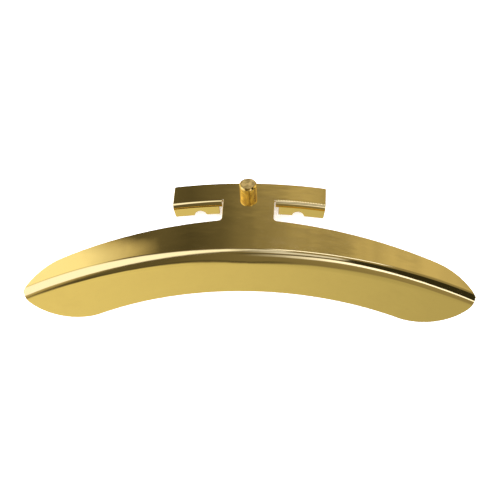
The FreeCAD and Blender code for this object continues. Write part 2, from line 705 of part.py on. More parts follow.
def jaw_pad():
    """The thin lining on the lip that keeps it off the hoop's plating."""
    pad = doc.addObject("Part::Box", "jaw_pad")
    pad.Label = "jaw_pad"
    pad.setExpression("Length", "2 * sizes.pad_half")
    pad.setExpression("Width", "sizes.pad_thick")
    pad.setExpression("Height", "sizes.pad_bottom - sizes.pad_top")
    corner = vec(-size("pad_half"), -size("lip_face"), -size("pad_bottom"))
    pad.Placement = FreeCAD.Placement(corner, FreeCAD.Rotation())
    return pad


# ---------------------------------------------------------------- lying on the table
def table_placement(pieces):
    """Tips the armrest onto the tab's lower corners and the two lobes, and centres its box."""
    corner_x = size("tab_half") - size("tab_corner")
    tab_inboard = rim_sag(corner_x, size("sheet"))
    hollow_y = size("rest_reach") + size("hollow_radius")
    reach = math.sqrt((size("hollow_radius") + size("lobe_radius")) ** 2 - size("lobe_half") ** 2)
    lobe_inboard = hollow_y - reach + size("lobe_radius")
    rise = size("tab_depth") - size("sheet")
    tilt = math.degrees(math.atan2(rise, lobe_inboard - tab_inboard))
    turn = FreeCAD.Rotation(vec(1, 0, 0), tilt)
    foot = turn.multVec(vec(corner_x, -tab_inboard, -size("tab_depth")))
    boxes = []
    for piece in pieces:
        shape = piece.Shape.copy()
        shape.Placement = FreeCAD.Placement(vec(0, 0, 0), turn).multiply(shape.Placement)
        boxes.append(shape.optimalBoundingBox())
    middle = (min(box.YMin for box in boxes) + max(box.YMax for box in boxes)) / 2
    return FreeCAD.Placement(vec(0, -middle, -foot.z), turn)


def check(pieces):
    for item in doc.Objects:
        if "Invalid" in item.State or "Error" in item.State:
            raise RuntimeError(f"{item.Name}: {item.State}")
    for piece in pieces:
        if piece.Shape.isNull() or not piece.Shape.isValid():
            raise RuntimeError(f"{piece.Label}: bad shape")


pieces = [
    armrest_plate(),
    thumbscrew_head(),
    screw_stud(),
    screw_clip(),
    thrust_washer(),
    clamp_jaw(),
    jaw_pad(),
]
doc.recompute()
check(pieces)
lie = table_placement(pieces)
for piece in pieces:
    piece.Placement = lie.multiply(piece.Placement)
doc.recompute()
check(pieces)

os.makedirs(PARTS_FOLDER, exist_ok=True)
for piece in pieces:
    piece.Shape.exportStep(os.path.join(PARTS_FOLDER, f"{piece.Label}.step"))
    box = piece.Shape.BoundBox
    print(f"{piece.Label}: {piece.Shape.Volume:.1f} mm3, solids {len(piece.Shape.Solids)}, "
          f"{box.XLength:.2f} x {box.YLength:.2f} x {box.ZLength:.2f}")
print("table placement", lie)
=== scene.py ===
"""Looks of a banjo armrest: one formed, gold-plated sheet with a thumbscrew clamp behind its tab.

Shapes are worked out in millimetres in the attitude in which the armrest is worn: X runs along the
rim, Y points away from the pot and Z up out of the drum head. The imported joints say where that
attitude lies in the row frame.
"""

import json
import math

import bpy
import numpy as np
from mathutils import Matrix, Vector, geometry, kdtree


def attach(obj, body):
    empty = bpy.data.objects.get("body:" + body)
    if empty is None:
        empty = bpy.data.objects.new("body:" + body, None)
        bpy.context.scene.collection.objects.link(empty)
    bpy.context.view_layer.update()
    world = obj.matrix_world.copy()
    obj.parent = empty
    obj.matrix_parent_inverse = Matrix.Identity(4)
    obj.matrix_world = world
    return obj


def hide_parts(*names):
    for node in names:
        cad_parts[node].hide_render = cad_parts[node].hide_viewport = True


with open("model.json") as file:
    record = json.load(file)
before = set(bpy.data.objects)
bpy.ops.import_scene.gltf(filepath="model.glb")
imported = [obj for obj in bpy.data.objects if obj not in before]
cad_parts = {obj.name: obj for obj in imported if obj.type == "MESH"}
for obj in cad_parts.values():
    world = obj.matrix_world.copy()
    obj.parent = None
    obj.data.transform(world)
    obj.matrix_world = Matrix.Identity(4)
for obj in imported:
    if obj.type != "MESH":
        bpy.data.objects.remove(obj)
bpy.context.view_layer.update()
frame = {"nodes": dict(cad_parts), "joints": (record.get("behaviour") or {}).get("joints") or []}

# ---------------------------------------------------------------- dimensions, millimetres
SHEET = 1.2
RIM = 186.6                     # outer face of the wall, seen from above
ROLL = 5.0                      # outside radius of the bend between wall and rest
HOLLOW_REACH = 20.3
HOLLOW_RADIUS = 130.0
LOBE_RADIUS = 23.2
LOBE_X = 71.3
TIP_X = 92.1
END_EDGE = (76.5, -13.5)        # where the end curve of the wall's lower edge begins
END_RADIUS = 21.0
MID_EDGE = -20.4
EDGE_BOW = 0.45
STEM_X = 10.5
STEM_FILLET = 1.6
TAB_X = 31.3
TAB_FOOT = -41.5
TAB_CORNER = 0.4
ARM_TOP = -32.0
EAR_BEND = 2.0
EAR_REACH = 6.15
ROOT_START = 10.9               # the ear's bend alone runs on towards the stem
EAR_START = 12.3
EAR_CORNER = 0.5
NOTCH_X = 19.9
NOTCH_RADIUS = 2.3
NOTCH_LIP = 0.5
SCREW_Z = -31.1
HOLE_RADIUS = 2.08
EDGE_ROUND = 0.22               # tumbled edge of the stamped sheet

# the plate is laid out flat in the coordinates (s, w): s along the rim, w down the profile from
# the line where the rest meets the roll
ROLL_W = ROLL * math.pi / 2
ARM_W = ROLL_W - ARM_TOP - ROLL
EAR_W = EAR_BEND * math.pi / 2 + EAR_REACH - EAR_BEND
EAR_EDGE = RIM - EAR_REACH      # radius of the ears' free edges
SLOT_W = ARM_W - EAR_W - 0.5    # a line in the open slot, between the wall's edge and the ears

# hand polishing has left the left wing of the wall slightly out of true, so its normals lean
WING_LEAN = math.radians(6.0)
WING_NEAR = 34.0                # the lean starts this far left of the middle
WING_NEAR_EASE = 10.0
WING_FAR = 80.0                 # and has gone again this far out
WING_FAR_EASE = 22.0
WING_TOP = 2.0                  # down the wall it starts this far below the roll
WING_DEPTH = 10.0               # and is full this much lower
UPRIGHT = 0.99                  # normals with this much outward in them belong to the wall

# spacing of the points along outlines and in the grids between them
LINE_STEP = 0.6
ARC_STEP = 0.45
EAR_STEP = 0.4
HOLE_STEP = 0.3
FILLET_STEP = 0.25
CORNER_STEP = 0.2
LIP_STEP = 0.12
EDGE_POINTS = 120               # along the bowed lower edge of each half of the wall
ROW_STEP = 1.2
COLUMN_STEP = 1.1
GRID_FROM = -18.0               # first row of the plate's grid, near the lobes' outer edges
GRID_HALF = 99.0                # half the width of the plate's grid
GRID_CLEAR = 0.45               # the plate's grid points keep this far from its border
ROLL_ROWS = 22
EAR_ROWS = 6
FOLD_ROWS = 14
SAME_POINT = 0.02               # outline points closer than this are one point
MITRE_LIMIT = 0.5               # stops the mitre at a sharp corner from growing long
ROUND_STEPS = np.radians((22.5, 45, 67.5, 90))      # turns from a face to the middle of an edge
SHARP = math.radians(35.0)      # turned parts have a sharp edge where they turn by more than this
LAYOUT_SCALE = 0.01             # the flat layout's millimetres to its UV map
TINY = 1e-6
MM = 0.001                      # one millimetre in metres


def worn_to_row():
    """The matrix that takes the worn attitude, in millimetres, to the row frame, in metres."""
    screw = [joint for joint in frame["joints"] if joint["name"] == "screw_turn"][0]
    away = -Vector(screw["axis"]).normalized()
    along = Vector((1.0, 0.0, 0.0))
    up = along.cross(away)
    origin = Vector(screw["pos_m"]) - up * (SCREW_Z * MM)
    turn = Matrix((along, away, up)).transposed().to_4x4()
    return Matrix.Translation(origin) @ turn @ Matrix.Scale(MM, 4)


WORN = worn_to_row()


# ---------------------------------------------------------------- outlines
def arc_points(center, radius, start_deg, end_deg, step=ARC_STEP):
    """Points on an arc, both ends included."""
    sweep = math.radians(abs(end_deg - start_deg)) * radius
    count = max(6, math.ceil(sweep / step))
    angles = np.radians(np.linspace(start_deg, end_deg, count + 1))
    return [(center[0] + radius * math.cos(a), center[1] + radius * math.sin(a)) for a in angles]


def line_points(start, end, step=LINE_STEP):
    """Points on a straight line, both ends included."""
    count = max(1, math.ceil(math.dist(start, end) / step))
    return [tuple(np.array(start) + (np.array(end) - np.array(start)) * i / count)
            for i in range(count + 1)]


def from_plan(point):
    """Flat coordinates of a point on the rest or the roll, seen from above."""
    x, y = point
    radius = math.hypot(x, y + RIM)
    past = radius - (RIM - ROLL)
    w = past if past <= 0 else ROLL * math.asin(min(1.0, past / ROLL))
    return RIM * math.atan2(x, y + RIM), w


def from_front(point):
    """Flat coordinates of a point on the wall or the roll, seen square to the wall."""
    x, z = point
    if z <= -ROLL:
        return RIM * math.asin(x / RIM), ROLL_W - z - ROLL
    bend = math.acos((z + ROLL) / ROLL)
    return RIM * math.asin(x / (RIM - ROLL + ROLL * math.sin(bend))), ROLL * bend


def from_ear(point):
    """Flat coordinates from an ear's own: along its free edge, and back from that edge."""
    along, back = point
    return RIM * along / EAR_EDGE, ARM_W - EAR_W + back


def rest_outline():
    """The right half of the rest's free edge, from the middle of the hollow to the tip."""
    hollow_y = -(HOLLOW_REACH + HOLLOW_RADIUS)
    lobe_y = hollow_y + math.sqrt((HOLLOW_RADIUS + LOBE_RADIUS) ** 2 - LOBE_X ** 2)
    join = math.degrees(math.atan2(lobe_y - hollow_y, LOBE_X))
    tip = -math.degrees(math.acos((TIP_X - LOBE_X) / LOBE_RADIUS))
    points = arc_points((0, hollow_y), HOLLOW_RADIUS, 90, join)
    points += arc_points((LOBE_X, lobe_y), LOBE_RADIUS, 180 + join, 360 + tip)
    return [from_plan(point) for point in points]


def wall_outline():
    """The right half of the wall's lower edge, from the tip in to the stem and down it."""
    start = np.array((STEM_X + STEM_FILLET, MID_EDGE))
    chord = np.array(END_EDGE) - start
    length = np.linalg.norm(chord)
    heading = math.atan2(chord[1], chord[0]) + 2 * math.atan(2 * EDGE_BOW / length)
    center = (END_EDGE[0] - END_RADIUS * math.sin(heading),
              END_EDGE[1] + END_RADIUS * math.cos(heading))
    tip_turn = -math.degrees(math.acos((TIP_X - center[0]) / END_RADIUS))
    points = arc_points(center, END_RADIUS, tip_turn, math.degrees(heading) - 90)
    down = np.array((chord[1], -chord[0])) / length
    for t in np.linspace(1, 0, EDGE_POINTS):
        points.append(tuple(start + chord * t + down * EDGE_BOW * 4 * t * (1 - t)))
    fillet = (STEM_X + STEM_FILLET, MID_EDGE - STEM_FILLET)
    points += arc_points(fillet, STEM_FILLET, 90, 180, FILLET_STEP)
    points += line_points((STEM_X, MID_EDGE - STEM_FILLET), (STEM_X, ARM_TOP))
    points += line_points((STEM_X, ARM_TOP), (ROOT_START, ARM_TOP), CORNER_STEP)
    return [from_front(point) for point in points]


def ear_outline():
    """The right ear, from its inner side round the notch to the outer end of the arm."""
    root = EAR_EDGE * math.asin(ROOT_START / RIM)
    first = EAR_EDGE * math.asin(EAR_START / RIM)
    last = EAR_EDGE * math.asin(TAB_X / RIM)
    notch = EAR_EDGE * math.asin(NOTCH_X / EAR_EDGE)
    reach = math.sqrt((NOTCH_RADIUS + NOTCH_LIP) ** 2 - NOTCH_LIP ** 2)
    tilt = math.degrees(math.asin(NOTCH_LIP / (NOTCH_RADIUS + NOTCH_LIP)))
    root_back = EAR_W - EAR_BEND * math.pi / 2
    points = line_points((root, EAR_W), (root, root_back), EAR_STEP)
    points += line_points((root, root_back), (first, root_back), EAR_STEP)
    points += line_points((first, root_back), (first, EAR_CORNER), EAR_STEP)
    points += arc_points((first + EAR_CORNER, EAR_CORNER), EAR_CORNER, 180, 270, CORNER_STEP)
    points += line_points((first + EAR_CORNER, 0), (notch - reach, 0))
    points += arc_points((notch - reach, NOTCH_LIP), NOTCH_LIP, -90, -tilt, LIP_STEP)
    points += arc_points((notch, 0), NOTCH_RADIUS, 180 - tilt, tilt, FILLET_STEP)
    points += arc_points((notch + reach, NOTCH_LIP), NOTCH_LIP, 180 + tilt, 270, LIP_STEP)
    points += line_points((notch + reach, 0), (last - EAR_CORNER, 0))
    points += arc_points((last - EAR_CORNER, EAR_CORNER), EAR_CORNER, 270, 360, CORNER_STEP)
    points += line_points((last, EAR_CORNER), (last, EAR_W), EAR_STEP)
    return [from_ear(point) for point in points]


def foot_outline():
    """The right half of the tab below the ear, down to its foot and in to the middle."""
    points = line_points((TAB_X, ARM_TOP), (TAB_X, TAB_FOOT + TAB_CORNER))
    corner = (TAB_X - TAB_CORNER, TAB_FOOT + TAB_CORNER)
    points += arc_points(corner, TAB_CORNER, 0, -90, FILLET_STEP)
    points += line_points((TAB_X - TAB_CORNER, TAB_FOOT), (0, TAB_FOOT))
    return [from_front(point) for point in points]


def plate_outline():
    """The whole outline in flat coordinates, as one closed loop."""
    half = rest_outline() + wall_outline() + ear_outline() + foot_outline()
    loop = half + [(-s, w) for s, w in reversed(half)]
    kept = []
    for point in loop:
        if not kept or math.dist(point, kept[-1]) > SAME_POINT:
            kept.append(point)
    if math.dist(kept[0], kept[-1]) < SAME_POINT:
        kept.pop()
    return np.array(kept)


def outward(loop):
    """Mitred normals that point out of a closed loop of flat points."""
    following = np.roll(loop, -1, axis=0)
    ahead = following - loop
    ahead /= np.linalg.norm(ahead, axis=1)[:, None]
    behind = np.roll(ahead, 1, axis=0)
    doubled_area = np.sum(loop[:, 0] * following[:, 1] - loop[:, 1] * following[:, 0])
    sign = 1.0 if doubled_area > 0 else -1.0
    normal = (ahead + behind) / 2
    normal /= np.maximum(np.sum(normal ** 2, axis=1), MITRE_LIMIT)[:, None]
    return sign * np.stack((normal[:, 1], -normal[:, 0]), axis=1)


def inside(points, loop):
    """Which points lie inside a closed loop, by counting crossings."""
    x, y = points[:, 0], points[:, 1]
    result = np.zeros(len(points), bool)
    for (x0, y0), (x1, y1) in zip(loop, np.roll(loop, -1, axis=0)):
        if y0 == y1:
            continue
        crosses = (y0 > y) != (y1 > y)
        result ^= crosses & (x < x0 + (y - y0) * (x1 - x0) / (y1 - y0))
    return result


# ---------------------------------------------------------------- surfaces
def plate_surface(flat):
    """Points and normals on the plate's outer face."""
    s, w = flat[:, 0], flat[:, 1]
    bend = np.clip(w / ROLL, 0, math.pi / 2)
    radius = np.where(w < 0, RIM - ROLL + w, RIM - ROLL + ROLL * np.sin(bend))
    z = np.where(w > ROLL_W, ROLL_W - w - ROLL, ROLL * np.cos(bend) - ROLL)
    out, up = np.sin(bend), np.cos(bend)
    ear = (w > SLOT_W) & (w < ARM_W) & (np.abs(s) > (STEM_X + ROOT_START) / 2)
    rise = np.clip(ARM_W - w, 0, None)
    fold = np.clip(rise / EAR_BEND, 0, math.pi / 2)
    flat_run = np.clip(rise - EAR_BEND * math.pi / 2, 0, None)
    radius = np.where(ear, RIM - EAR_BEND + EAR_BEND * np.cos(fold) - flat_run, radius)
    z = np.where(ear, ARM_TOP + EAR_BEND * np.sin(fold), z)
    out = np.where(ear, np.cos(fold), out)
    up = np.where(ear, np.sin(fold), up)
    turn = s / RIM
    points = np.stack((radius * np.sin(turn), radius * np.cos(turn) - RIM, z), axis=1)
    down = np.clip((w - ROLL_W - WING_TOP) / WING_DEPTH, 0, 1)
    wing = np.clip((-s - WING_NEAR) / WING_NEAR_EASE, 0, 1)
    wing = wing * np.clip((WING_FAR + s) / WING_FAR_EASE, 0, 1)
    lean = turn + WING_LEAN * down ** 2 * wing * (out > UPRIGHT)
    normals = np.stack((out * np.sin(lean), out * np.cos(lean), up), axis=1)
    return points, normals


def plate_grid():
    """Rows of points over the flat layout, closer together across the bends."""
    fold_w = ARM_W - EAR_BEND * math.pi / 2
    above_roll, below_roll, below_fold = 0.2, 1.0, 0.9      # gaps before the even rows go on
    rest = np.arange(GRID_FROM, -above_roll, ROW_STEP)
    roll = np.linspace(0, ROLL_W, ROLL_ROWS)
    wall = np.arange(ROLL_W + below_roll, SLOT_W, ROW_STEP)
    ear = np.linspace(ARM_W - EAR_W, fold_w, EAR_ROWS)
    fold = np.linspace(fold_w, ARM_W, FOLD_ROWS)
    foot = np.arange(ARM_W + below_fold, ROLL_W - TAB_FOOT - ROLL, ROW_STEP)
    points = []
    for number, w in enumerate(np.concatenate((rest, roll, wall, ear[:-1], fold, foot))):
        shift = COLUMN_STEP / 2 * (number % 2)
        along = np.arange(shift - GRID_HALF, GRID_HALF, COLUMN_STEP)
        points.append(np.stack((along, np.full(len(along), w)), axis=1))
    return np.concatenate(points)


def flat_triangles(borders, grid, clearance):
    """Flat points and triangles between the outline's border and the holes' borders.

    The borders' points come first. Grid points nearer to them than clearance are left out.
    """
    outline, *holes = borders
    keep = inside(grid, outline)
    for hole in holes:
        keep &= ~inside(grid, hole)
    border = np.concatenate(borders)
    tree = kdtree.KDTree(len(border))
    for index, (s, w) in enumerate(border):
        tree.insert((s, w, 0.0), index)
    tree.balance()
    interior = [point for point in grid[keep]
                if tree.find((point[0], point[1], 0.0))[2] > clearance]
    flat = np.vstack((border, np.array(interior).reshape(-1, 2)))
    edges = []
    first = 0
    for loop in borders:
        count = len(loop)
        edges += [(first + i, first + (i + 1) % count) for i in range(count)]
        first += count
    inside_only, epsilon = 1, 1e-5
    result = geometry.delaunay_2d_cdt([Vector(point) for point in flat], edges, [], inside_only,
                                      epsilon)
    flat = np.array([tuple(v) for v in result[0]])
    faces = np.array(result[2])
    for hole in holes:
        faces = faces[~inside(flat[faces].mean(axis=1), hole)]
    return flat, faces


def rounded_edge(loop, away, surface, thickness, rounding):
    """Rings over a sheared edge, from the outer face to the inner one.

    Each ring is its points, its normals, and how far it faces sideways, from 0 to 1.
    """
    nudge = 1e-3
    point, normal = surface(loop)
    ahead, _ = surface(loop + away * nudge)
    out = ahead - point
    mitre = np.linalg.norm(away, axis=1)[:, None]
    out /= np.linalg.norm(out, axis=1)[:, None]
    rings = []
    for side, angles in ((1, ROUND_STEPS), (-1, ROUND_STEPS[::-1])):
        for a in angles:
            depth = rounding * (1 - math.cos(a))
            height = -depth if side > 0 else -(thickness - depth)
            points = point - out * mitre * rounding * (1 - math.sin(a)) + normal * height
            mixed = out * math.sin(a) + normal * (side * math.cos(a))
            mixed = mixed / np.linalg.norm(mixed, axis=1)[:, None]
            rings.append((points, mixed, math.sin(a)))
    return rings


def formed_sheet(name, loops, grid, surface, thickness, rounding, clearance):
    """A sheet part with rounded edges.

    loops are the outline and any holes in flat coordinates, and surface maps flat coordinates to
    points and normals of the outer face. The inner face lies one thickness behind it. Vertices
    carry their true normals, and an attribute that is 1 on the sheared edges.
    """
    aways = [outward(loop) * (1 if order == 0 else -1) for order, loop in enumerate(loops)]
    borders = [loop - away * rounding for loop, away in zip(loops, aways)]
    flat, faces = flat_triangles(borders, grid, clearance)
    top, up = surface(flat)
    corner = top[faces]
    facing = np.cross(corner[:, 1] - corner[:, 0], corner[:, 2] - corner[:, 0])
    flipped = np.sum(facing * up[faces[:, 0]], axis=1) < 0
    faces[flipped] = faces[flipped][:, ::-1]
    count = len(flat)
    layouts = [flat, flat]
    vertices = [top, top - thickness * up]
    normals = [up, -up]
    edge_mask = [np.zeros(2 * count)]
    polygons = [tuple(f) for f in faces] + [tuple(f[::-1] + count) for f in faces]

    first = 0
    total = 2 * count
    for loop, away in zip(loops, aways):
        ring = len(loop)
        rings = [list(range(first, first + ring))]
        for points, directions, sideways in rounded_edge(loop, away, surface, thickness, rounding):
            layouts.append(loop)
            vertices.append(points)
            normals.append(directions)
            edge_mask.append(np.full(ring, sideways))
            rings.append(list(range(total, total + ring)))
            total += ring
        rings.append([index + count for index in rings[0]])
        for upper, lower in zip(rings, rings[1:]):
            for i in range(ring):
                j = (i + 1) % ring
                polygons.append((upper[i], upper[j], lower[j], lower[i]))
        first += ring
    vertices = np.concatenate(vertices)
    normals = np.concatenate(normals)
    # quads are turned to face along their own normals
    for index in range(2 * len(faces), len(polygons)):
        a, b, c, d = polygons[index]
        facing = np.cross(vertices[b] - vertices[a], vertices[d] - vertices[a])
        if np.dot(facing, normals[a] + normals[c]) < 0:
            polygons[index] = (d, c, b, a)
    return sheet_object(name, vertices, polygons, normals, np.concatenate(edge_mask),
                        np.concatenate(layouts))


def sheet_object(name, vertices, polygons, normals, edge_mask, layouts):
    """The object of a sheet part, with a normal, an edge value and a flat place at each vertex."""
    mesh = bpy.data.meshes.new(name)
    mesh.from_pydata(vertices.tolist(), [], polygons)
    mesh.transform(WORN)
    mesh.polygons.foreach_set("use_smooth", [True] * len(mesh.polygons))
    turned = normals @ np.array(WORN.to_3x3().transposed()) / MM
    mesh.normals_split_custom_set_from_vertices(turned.tolist())
    attribute = mesh.attributes.new("edge", "FLOAT", "POINT")
    attribute.data.foreach_set("value", edge_mask.astype(np.float32))
    uvs = layouts * LAYOUT_SCALE
    layout = mesh.uv_layers.new(name="layout")
    corner_vertices = np.zeros(len(mesh.loops), int)
    mesh.loops.foreach_get("vertex_index", corner_vertices)
    layout.data.foreach_set("uv", uvs[corner_vertices].astype(np.float32).ravel())
    return add_object(name, mesh)


def add_object(name, mesh):
    obj = bpy.data.objects.new(name, mesh)
    bpy.context.scene.collection.objects.link(obj)
    return obj


def lathe(name, profile, segments, relief):
    """A turned part about the screw's axis.

    profile lists (y, radius) from one end on the axis, round the part, to the other end on the
    axis or back to the start. relief(y, radius, angle) is taken off the radius.
    """
    closed = profile[0] == profile[-1]
    rows = profile[:-1] if closed else profile
    vertices = []
    rings = []
    for y, radius in rows:
        if radius < TINY:
            rings.append([len(vertices)])
            vertices.append((0.0, y, SCREW_Z))
            continue
        ring = []
        for i in range(segments):
            angle = 2 * math.pi * i / segments
            reach = radius - relief(y, radius, angle)
            ring.append(len(vertices))
            vertices.append((reach * math.cos(angle), y, SCREW_Z + reach * math.sin(angle)))
        rings.append(ring)
    polygons = []
    pairs = list(zip(rings, rings[1:])) + ([(rings[-1], rings[0])] if closed else [])
    for one, two in pairs:
        for i in range(segments):
            j = (i + 1) % segments
            if len(one) == 1:
                polygons.append((one[0], two[j], two[i]))
            elif len(two) == 1:
                polygons.append((one[i], one[j], two[0]))
            else:
                polygons.append((one[i], one[j], two[j], two[i]))
    mesh = bpy.data.meshes.new(name)
    mesh.from_pydata(vertices, [], polygons)
    mesh.transform(WORN)
    mesh.polygons.foreach_set("use_smooth", [True] * len(mesh.polygons))
    mesh.set_sharp_from_angle(angle=SHARP)
    return add_object(name, mesh)


def triangle_wave(t):
    """0 at whole numbers and 1 halfway between them."""
    return 1.0 - abs(2.0 * (t - math.floor(t)) - 1.0)


# ---------------------------------------------------------------- the pieces
def build_plate():
    circle = arc_points((0, SCREW_Z), HOLE_RADIUS, 0, 360, HOLE_STEP)[:-1]
    hole = np.array([from_front(point) for point in circle])
    return formed_sheet("plate_skin", [plate_outline(), hole], plate_grid(), plate_surface,
                        SHEET, EDGE_ROUND, GRID_CLEAR)


def build_head():
    """The barrel: a diamond knurl between plain bands, and a turned face inside a raised rim."""
    seat, face, radius, chamfer = 0.1, 9.9, 3.45, 0.4
    socket_end, socket_radius = 6.6, 2.0
    teeth, pitch, depth, runout = 34, 0.95, 0.13, 0.15
    rows_per_pitch, segments_per_tooth = 8, 10
    start, stop = seat + chamfer + 0.25, face - chamfer - 0.35      # the knurl's two ends
    line, line_depth = 0.08, 0.1            # half width and depth of the turned line by the knurl
    corner_y, corner_r = 0.05, 0.04         # the small round between chamfer and face
    rim, rim_slope, sunk = 0.35, 0.08, 0.07
    face_rings, ridge, furrow = 44, 0.012, -0.006

    def knurl(y, r, angle):
        if not start < y < stop or r < radius - TINY:
            return 0.0
        turn = teeth * angle / (2 * math.pi)
        height = min(triangle_wave(turn + y / pitch), triangle_wave(turn - y / pitch))
        fade = min(1.0, (y - start) / runout, (stop - y) / runout)
        return depth * (1.0 - height) * fade

    profile = [(socket_end, 0.0), (socket_end, socket_radius), (seat, socket_radius)]
    profile += [(seat, radius - chamfer), (seat + chamfer, radius), (start, radius)]
    rows = round((stop - start) / (pitch / rows_per_pitch))
    profile += [(start + (stop - start) * i / rows, radius) for i in range(1, rows)]
    profile += [(stop, radius), (stop + line, radius - line_depth), (stop + 2 * line, radius)]
    profile += [(face - chamfer, radius), (face - corner_y, radius - chamfer + corner_r)]
    rim_in = radius - chamfer - rim
    profile += [(face, radius - chamfer), (face, rim_in + rim_slope), (face - sunk, rim_in)]
    for i in range(1, face_rings):
        height = ridge if i % 2 else furrow
        profile.append((face - sunk + height, rim_in * (1 - i / face_rings)))
    profile.append((face - sunk, 0.0))
    return lathe("knob_skin", profile, teeth * segments_per_tooth, knurl)


def build_stud():
    """The threaded stud, with the clip's groove behind the tab and a chamfered end."""
    pitch, radius, depth = 0.7, 2.0, 0.4
    head_end, tip = 6.55, -10.2
    near, far, groove = -1.87, -2.53, 1.6   # the groove's two sides, and its radius
    bevel, head_bevel, chamfer = 0.1, 0.2, 0.5
    dimple, dimple_radius = 0.02, 0.6       # the free end is a little hollow
    thread_start, runout, core = far - 0.25, 0.5, 0.55
    crest = 1.15                            # above 1, this flattens the thread's crests
    rows_per_pitch, segments = 10, 72
    shoulder = far - bevel
    length = shoulder - tip - chamfer

    def thread(y, r, angle):
        if y > thread_start or y < tip + dimple or r < radius - core:
            return 0.0
        fade = min(1.0, (thread_start - y) / runout)
        wave = triangle_wave(y / pitch - angle / (2 * math.pi))
        worn_crest = min(1.0, wave * crest)
        return max(0.0, depth * (1.0 - worn_crest) * fade - (radius - r))

    profile = [(head_end, 0.0), (head_end, radius - head_bevel), (head_end - head_bevel, radius)]
    profile += [(near + bevel, radius), (near, radius - bevel), (near, groove)]
    profile += [(far, groove), (far, radius - bevel), (shoulder, radius)]
    rows = round(length / (pitch / rows_per_pitch))
    profile += [(shoulder - length * i / rows, radius) for i in range(1, rows + 1)]
    profile += [(tip + chamfer / 2, radius - chamfer / 2), (tip, radius - chamfer)]
    profile += [(tip + dimple, dimple_radius), (tip + bevel, 0.0)]
    return lathe("stud_skin", profile, segments, thread)


def build_washer():
    """The fibre washer, rounded at its edges and slightly frayed round the outside."""
    outer, bore, front, back = 4.0, 2.06, -1.32, -1.82
    soft, frayed_band, frayed_depth = 0.1, 0.15, 0.02
    front_rings, back_rings, segments = (2.8, 3.5), (3.4, 2.7), 96

    def frayed(y, r, angle):
        if r < outer - frayed_band:
            return 0.0
        return frayed_depth * (1 + math.sin(23 * angle) * math.sin(7 * angle + 1.0))

    profile = [(front - soft, bore), (front, bore + soft)]
    profile += [(front, radius) for radius in front_rings]
    profile += [(front, outer - soft), (front - soft, outer), (back + soft, outer)]
    profile += [(back, outer - soft)]
    profile += [(back, radius) for radius in back_rings]
    profile += [(back, bore + soft), (back + soft, bore), (front - soft, bore)]
    return lathe("washer_skin", profile, segments, frayed)


def upright_surface(y, middle_z):
    """A plane for formed_sheet that faces the way the tab does, with flat coordinates (x, z)."""
    def surface(flat):
        points = np.stack((flat[:, 0], np.full(len(flat), y), middle_z + flat[:, 1]), axis=1)
        return points, np.tile((0.0, 1.0, 0.0), (len(flat), 1))
    return surface


def square_grid(half_width, half_height, step):
    xs = np.arange(-half_width, half_width + step, step)
    ys = np.arange(-half_height, half_height + step, step)
    return np.array([(x, y) for y in ys for x in xs])


def build_clip():
    """The spring clip: a flat ring with a mouth on the right."""
    outer, inner, half_mouth = 3.1, 1.62, 1.1
    front, thickness, rounding = -1.9, 0.6, 0.1
    half_grid, spacing, clearance = 3.2, 0.35, 0.15
    outer_turn = math.degrees(math.asin(half_mouth / outer))
    inner_turn = math.degrees(math.asin(half_mouth / inner))
    loop = arc_points((0, 0), outer, outer_turn, 360 - outer_turn, FILLET_STEP)
    loop += arc_points((0, 0), inner, 360 - inner_turn, inner_turn, CORNER_STEP)
    return formed_sheet("clip_skin", [np.array(loop)], square_grid(half_grid, half_grid, spacing),
                        upright_surface(front, SCREW_Z), thickness, rounding, clearance)


def build_pad():
    """The leather lining on the jaw's lip, rounded at its corners and dented all over."""
    half, low, high = 7.6, -25.0, -22.0
    front, thickness, corner, rounding = -14.0, 0.6, 0.5, 0.12
    spacing, clearance, dent_depth = 0.3, 0.15, 0.05
    rise = (high - low) / 2
    loop = []
    for x_sign, z_sign, start in ((1, 1, 0), (-1, 1, 90), (-1, -1, 180), (1, -1, 270)):
        center = (x_sign * (half - corner), z_sign * (rise - corner))
        loop += arc_points(center, corner, start, start + 90, CORNER_STEP)
    spaced = []
    for one, two in zip(loop, loop[1:] + loop[:1]):
        spaced += line_points(one, two, EAR_STEP)[:-1]
    smooth = upright_surface(front, (low + high) / 2)

    def dented(flat):
        points, normals = smooth(flat)
        s, w = flat[:, 0], flat[:, 1]
        dent = 0.5 + 0.5 * np.sin(2.3 * s + 1.1 * np.sin(1.9 * w)) * np.sin(2.9 * w + 0.6 * s)
        points[:, 1] -= dent_depth * dent
        return points, normals

    return formed_sheet("pad_skin", [np.array(spaced)], square_grid(half, rise, spacing), dented,
                        thickness - dent_depth, rounding, clearance)


# ---------------------------------------------------------------- materials
GOLD = (0.95, 0.69, 0.17)
RUBBED_GOLD = (0.90, 0.635, 0.16)
TARNISH_SPOT = (0.72, 0.47, 0.15)
SHEARED_EDGE = (0.80, 0.66, 0.40)
KNURL_GOLD = (0.97, 0.66, 0.12)
# darker gold laid in patches down the knurl's valleys
KNURL_VALLEY_DARK = (0.42, 0.20, 0.03)
FACE_DARK = (0.33, 0.22, 0.05)
FACE_PALE = (0.66, 0.46, 0.12)
FACE_RING = (0.40, 0.27, 0.08)
PAPER = (0.92, 0.92, 0.92)

# colour, colour of the darker blotches, roughness, stretch of the tool marks, bump height in mm
METALS = {
    "plain_steel": ((0.60, 0.58, 0.55), (0.36, 0.33, 0.30), 0.25, 8, 0.01),
    "spring_steel": ((0.34, 0.33, 0.34), (0.18, 0.17, 0.18), 0.3, 3, 0.01),
    "plated_jaw": ((0.90, 0.62, 0.20), (0.70, 0.44, 0.14), 0.32, 12, 0.015),
}
# colour, colour between the fibres, scale of the grain, bump height in mm
SOFT_STUFF = {
    "washer_fibre": ((0.30, 0.12, 0.07), (0.14, 0.05, 0.03), 900, 0.03),
    "pad_leather": ((0.16, 0.10, 0.07), (0.06, 0.035, 0.025), 1400, 0.06),
}

